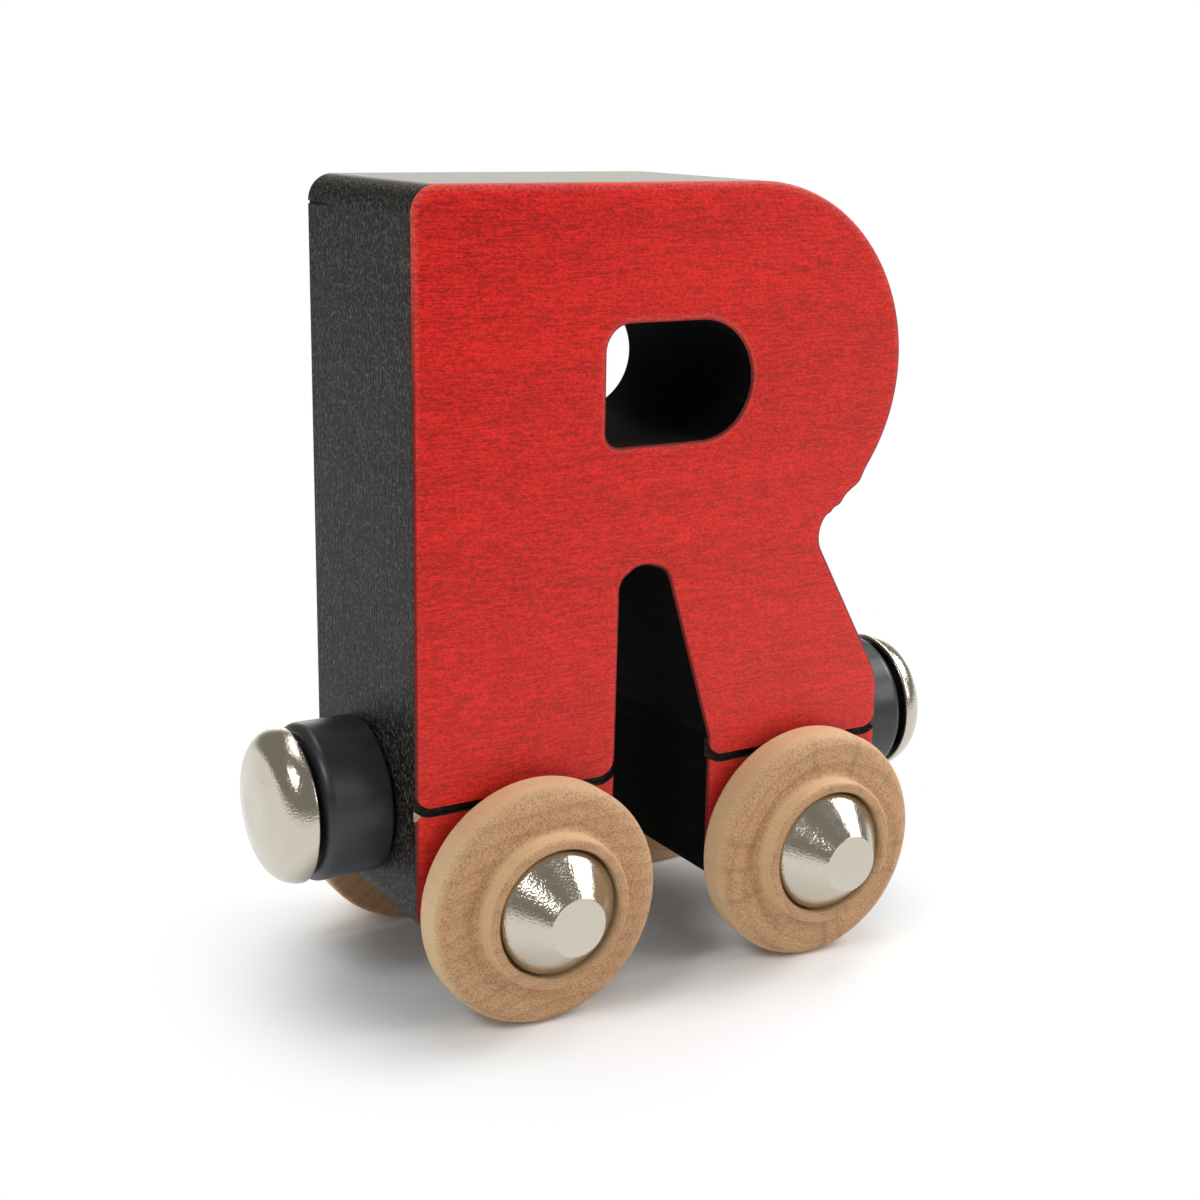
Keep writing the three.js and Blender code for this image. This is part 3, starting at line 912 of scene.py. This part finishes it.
for side, end in stations:
    node = f"{side}_{end}_axle_pin"
    low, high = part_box(node)
    outward = sides[side]
    length = high.y - low.y
    shank_end = (low + high) / 2 - outward * length / 2
    underside = length - head_skirt - cone_height
    section = [
        (0, 0),
        (axle_radius, 0),
        (axle_radius, underside),
        (head_radius, underside, head_rounding),
        (head_radius, underside + head_skirt, head_rounding),
        (tip_radius, length, tip_rounding),
        (0, length),
    ]
    pin = turned(f"{side}_{end}_cone_head", section, shank_end, outward, nickel)
    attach(pin, "letter")
    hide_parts(node)
print("axle pins:", len(stations), "of length", round(length / mm, 2), "mm")

# %% [markdown]
# ## Moulded black plastic
# The coupler's sleeve is a moulded bush in black ABS, with the satin of a lightly etched mould.
# Light runs along its round front edge as a soft blue-grey line. The grain of the mould is too fine to see
# as points, so it is drawn coarser, as a faint unevenness in the gloss.

# %% Black ABS
def black_abs():
    material, tree, shader, place = new_finish("black_abs")
    etch_place = add(tree, "ShaderNodeMapping", {"Vector": place, "Scale": cells(0.25, 0.25, 0.25)})
    etch = add(tree, "ShaderNodeTexNoise", {"Vector": etch_place, "Scale": 1, "Detail": 2})
    scuff_place = add(tree, "ShaderNodeMapping", {"Vector": place, "Scale": cells(1.5, 1.5, 3)})
    scuffs = add(tree, "ShaderNodeTexNoise", {"Vector": scuff_place, "Scale": 1, "Detail": 3})
    tone = add(tree, "ShaderNodeMix", {
        "Factor": scuffs, "A": colour("#1D1E22"), "B": colour("#303238")}, data_type="RGBA")
    gloss = add(tree, "ShaderNodeMapRange", {
        "Value": scuffs, "From Min": 0.3, "From Max": 0.7, "To Min": 0.3, "To Max": 0.44})
    relief = add(tree, "ShaderNodeBump", {"Height": etch, "Distance": 0.01 * mm, "Strength": 0.4})
    feed(shader, {"Base Color": tone, "Roughness": gloss, "IOR": 1.54, "Normal": relief})
    return material


plastic = black_abs()
print("made", plastic.name)

# %% [markdown]
# ## Couplers
# A coupler is a sleeve with a magnet in it, under a drawn steel cap. The cap's edge is rolled over
# a wide radius and its front is a shallow dome, so that two caps touch near their middle. Between sleeve
# and cap a narrow ring stays open, and the magnet's side is seen in it.

# %% Coupler meshes
sleeve_edge_radius = 0.9 * mm
sleeve_floor = 1.4 * mm
sleeve_bore = 4.7 * mm
sleeve_hole = 1.7 * mm
sleeve_back_radius = 0.25 * mm
cap_wall = 0.6 * mm
cap_edge_radius = 2.4 * mm
cap_contact_radius = 2.3 * mm
cap_crown_drop = 1 * mm
cap_crown_radius = 6 * mm
cap_rim_radius = 0.2 * mm

ends = {"left": Vector((-1, 0, 0)), "right": Vector((1, 0, 0))}


def sleeve_section(radius, length):
    return [
        (sleeve_hole, 0),
        (radius, 0, sleeve_back_radius),
        (radius, length, sleeve_edge_radius),
        (sleeve_bore, length, cap_rim_radius),
        (sleeve_bore, sleeve_floor),
        (sleeve_hole, sleeve_floor),
    ]


def cap_section(radius, length):
    inner = radius - cap_wall

    def crown(r):
        return length - cap_crown_drop * (r - cap_contact_radius) / (radius - cap_contact_radius)

    return [
        (0, length - cap_wall),
        (cap_contact_radius, length - cap_wall, cap_crown_radius),
        (inner, crown(inner) - cap_wall, cap_edge_radius - cap_wall),
        (inner, 0, cap_rim_radius),
        (radius, 0, cap_rim_radius),
        (radius, crown(radius), cap_edge_radius),
        (cap_contact_radius, length, cap_crown_radius),
        (0, length),
    ]


shells = {
    "sleeve": (sleeve_section, plastic, "black_plastic"),
    "cap": (cap_section, nickel, "nickel_plate"),
}
for end, outward in ends.items():
    for part, (section_of, material, slot) in shells.items():
        node = f"{end}_coupler_{part}"
        low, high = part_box(node)
        length = high.x - low.x
        back = (low + high) / 2 - outward * length / 2
        section = section_of((high.z - low.z) / 2, length)
        shell = turned(f"{end}_coupler_turned_{part}", section, back, outward, material)
        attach(shell, f"{end}_coupler")
        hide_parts(node)
print("couplers:", len(ends), "with", len(shells), "shells each")

# %% [markdown]
# ## Inside the couplers
# The magnet and the pin's head are hidden, apart from a glimpse of the magnet in the open ring. Their
# solids are right as they are, so they stay and only get their materials: a dull sintered ferrite, and
# bright drawn steel with lines along the wire.

# %% Ferrite and drawn steel
def sintered_ferrite():
    material, tree, shader, place = new_finish("sintered_ferrite")
    grit_place = add(tree, "ShaderNodeMapping", {"Vector": place, "Scale": cells(0.2, 0.2, 0.2)})
    grit = add(tree, "ShaderNodeTexNoise", {"Vector": grit_place, "Scale": 1, "Detail": 3})
    tone = add(tree, "ShaderNodeMix", {
        "Factor": grit, "A": colour("#1D1B1A"), "B": colour("#3A3735")}, data_type="RGBA")
    relief = add(tree, "ShaderNodeBump", {"Height": grit, "Distance": 0.03 * mm})
    feed(shader, {"Base Color": tone, "Roughness": 0.7, "Normal": relief})
    return material


def drawn_steel():
    material, tree, shader, place = new_finish("drawn_steel_wire")
    line_place = add(tree, "ShaderNodeMapping", {"Vector": place, "Scale": cells(6, 0.12, 0.12)})
    lines = add(tree, "ShaderNodeTexNoise", {"Vector": line_place, "Scale": 1, "Detail": 2})
    gloss = add(tree, "ShaderNodeMapRange", {
        "Value": lines, "From Min": 0.3, "From Max": 0.7, "To Min": 0.25, "To Max": 0.45})
    relief = add(tree, "ShaderNodeBump", {"Height": lines, "Distance": 0.01 * mm})
    feed(shader, {"Base Color": colour("#9C9B98"), "Metallic": 1, "Roughness": gloss, "Normal": relief})
    return material


ferrite = sintered_ferrite()
steel = drawn_steel()
for end in ends:
    for part, material in (("magnet", ferrite), ("pin", steel)):
        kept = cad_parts[f"{end}_coupler_{part}"]
        kept.data.materials.clear()
        kept.data.materials.append(material)
print("kept solids:", 2 * len(ends))

# %% [markdown]
# ## Floor and background
# The car stands on white paper. Near the car the paper is an ordinary matt surface, so that it takes the
# car's shadow and throws red and white light back up. Further out it fades to plain white for
# the camera and for reflections, so no horizon shows. In front the sheet ends not far behind the camera,
# and past its edge the nickel mirrors the dark room.

# %% Floor
floor_radius = 900 * mm
front_edge = 280 * mm
shadow_reach = 22 * mm
white_from = 40 * mm

sheet = bmesh.new()
floor_middle = Matrix.Translation((0, floor_radius - front_edge, 0))
bmesh.ops.create_circle(sheet, cap_ends=True, radius=floor_radius, segments=96, matrix=floor_middle)
floor = bpy.data.objects.new("paper_floor", bpy.data.meshes.new("paper_floor"))
sheet.to_mesh(floor.data)
sheet.free()
bpy.context.scene.collection.objects.link(floor)
floor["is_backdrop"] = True

paper, tree, shader, place = new_finish("white_paper")
feed(shader, {"Base Color": colour("#F1F3F5"), "Roughness": 0.9, "Specular IOR Level": 0.2})
rays = add(tree, "ShaderNodeLightPath").outputs
seen = add(tree, "ShaderNodeMath", {0: rays["Is Camera Ray"], 1: rays["Is Glossy Ray"]}, operation="ADD")
reach = add(tree, "ShaderNodeVectorMath", {0: place}, operation="LENGTH")
fade = add(tree, "ShaderNodeMapRange", {
    "Value": reach, "From Min": shadow_reach, "From Max": white_from}, interpolation_type="SMOOTHSTEP")
share = add(tree, "ShaderNodeMath", {0: fade, 1: seen}, operation="MULTIPLY")
white = add(tree, "ShaderNodeEmission")
faded = add(tree, "ShaderNodeMixShader", {0: share, 1: shader, 2: white})
feed(tree.nodes["Material Output"], {"Surface": faded})
floor.data.materials.append(paper)
print("floor of", round(2 * floor_radius, 2), "m")

# %% [markdown]
# ## Light
# The streaks on the nickel tell where the soft boxes stood: the main one high on the right, which throws
# the shadow to the left, a weaker one in front of it, one overhead and a small one high on the left. The
# world gives the even light of the white paper all round. The room behind the photographer was dark and the
# backdrop behind the car was lit. Only smooth surfaces show the two, so only glossy rays see them.

# %% World
paper_light = 0.45
room_dark = 0.26
backdrop_glow = 2.4
backdrop_middle = Vector((0.5, 0.83, 0.06)).normalized()

world = bpy.data.worlds.new("studio")
world.use_nodes = True
bpy.context.scene.world = world
tree = world.node_tree
tree.nodes.clear()
rays = add(tree, "ShaderNodeLightPath").outputs
direction = add(tree, "ShaderNodeTexCoord").outputs["Generated"]
facing = add(tree, "ShaderNodeVectorMath", {0: direction, 1: backdrop_middle}, operation="DOT_PRODUCT")
lit = add(tree, "ShaderNodeMapRange", {
    "Value": facing, "From Min": 0.88, "From Max": 0.98, "To Min": room_dark, "To Max": backdrop_glow},
    interpolation_type="SMOOTHSTEP")
around = add(tree, "ShaderNodeBackground", {"Color": colour("#FFFEFA"), "Strength": paper_light})
mirrored = add(tree, "ShaderNodeBackground", {"Color": colour("#FFFAF0"), "Strength": lit})
backdrop = add(tree, "ShaderNodeBackground", {"Color": colour("#FFFFFF")})
with_room = add(tree, "ShaderNodeMixShader", {0: rays["Is Glossy Ray"], 1: around, 2: mirrored})
surface = add(tree, "ShaderNodeMixShader", {0: rays["Is Camera Ray"], 1: with_room, 2: backdrop})
add(tree, "ShaderNodeOutputWorld", {"Surface": surface})
print("world set")

# %% Lamps
# Each soft box has its place, its width and its power in watts
soft_boxes = {
    "key_soft_box": (Vector((420, -70, 330)) * mm, 190 * mm, 1.25),
    "right_soft_box": (Vector((330, -380, 230)) * mm, 220 * mm, 0.6),
    "top_soft_box": (Vector((90, 90, 380)) * mm, 300 * mm, 0.85),
    "left_soft_box": (Vector((-290, -140, 330)) * mm, 100 * mm, 0.5),
}
middle = (cad_low + cad_high) / 2
for name, (spot, width, watts) in soft_boxes.items():
    lamp = bpy.data.objects.new(name, bpy.data.lights.new(name, "AREA"))
    lamp.data.shape = "SQUARE"
    lamp.data.size = width
    lamp.data.energy = watts
    lamp.location = spot
    lamp.rotation_mode = "QUATERNION"
    lamp.rotation_quaternion = (spot - middle).to_track_quat("Z", "Y")
    bpy.context.scene.collection.objects.link(lamp)
bpy.context.scene.view_settings.view_transform = "Standard"
print("lamps:", list(soft_boxes))

# %% [markdown]
# ## Size
# The dressed car must not outgrow the frame, so both boxes are printed.

# %% Sizes and finish
low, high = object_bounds()
print("visual size in mm:", [round(x / mm, 2) for x in high - low])
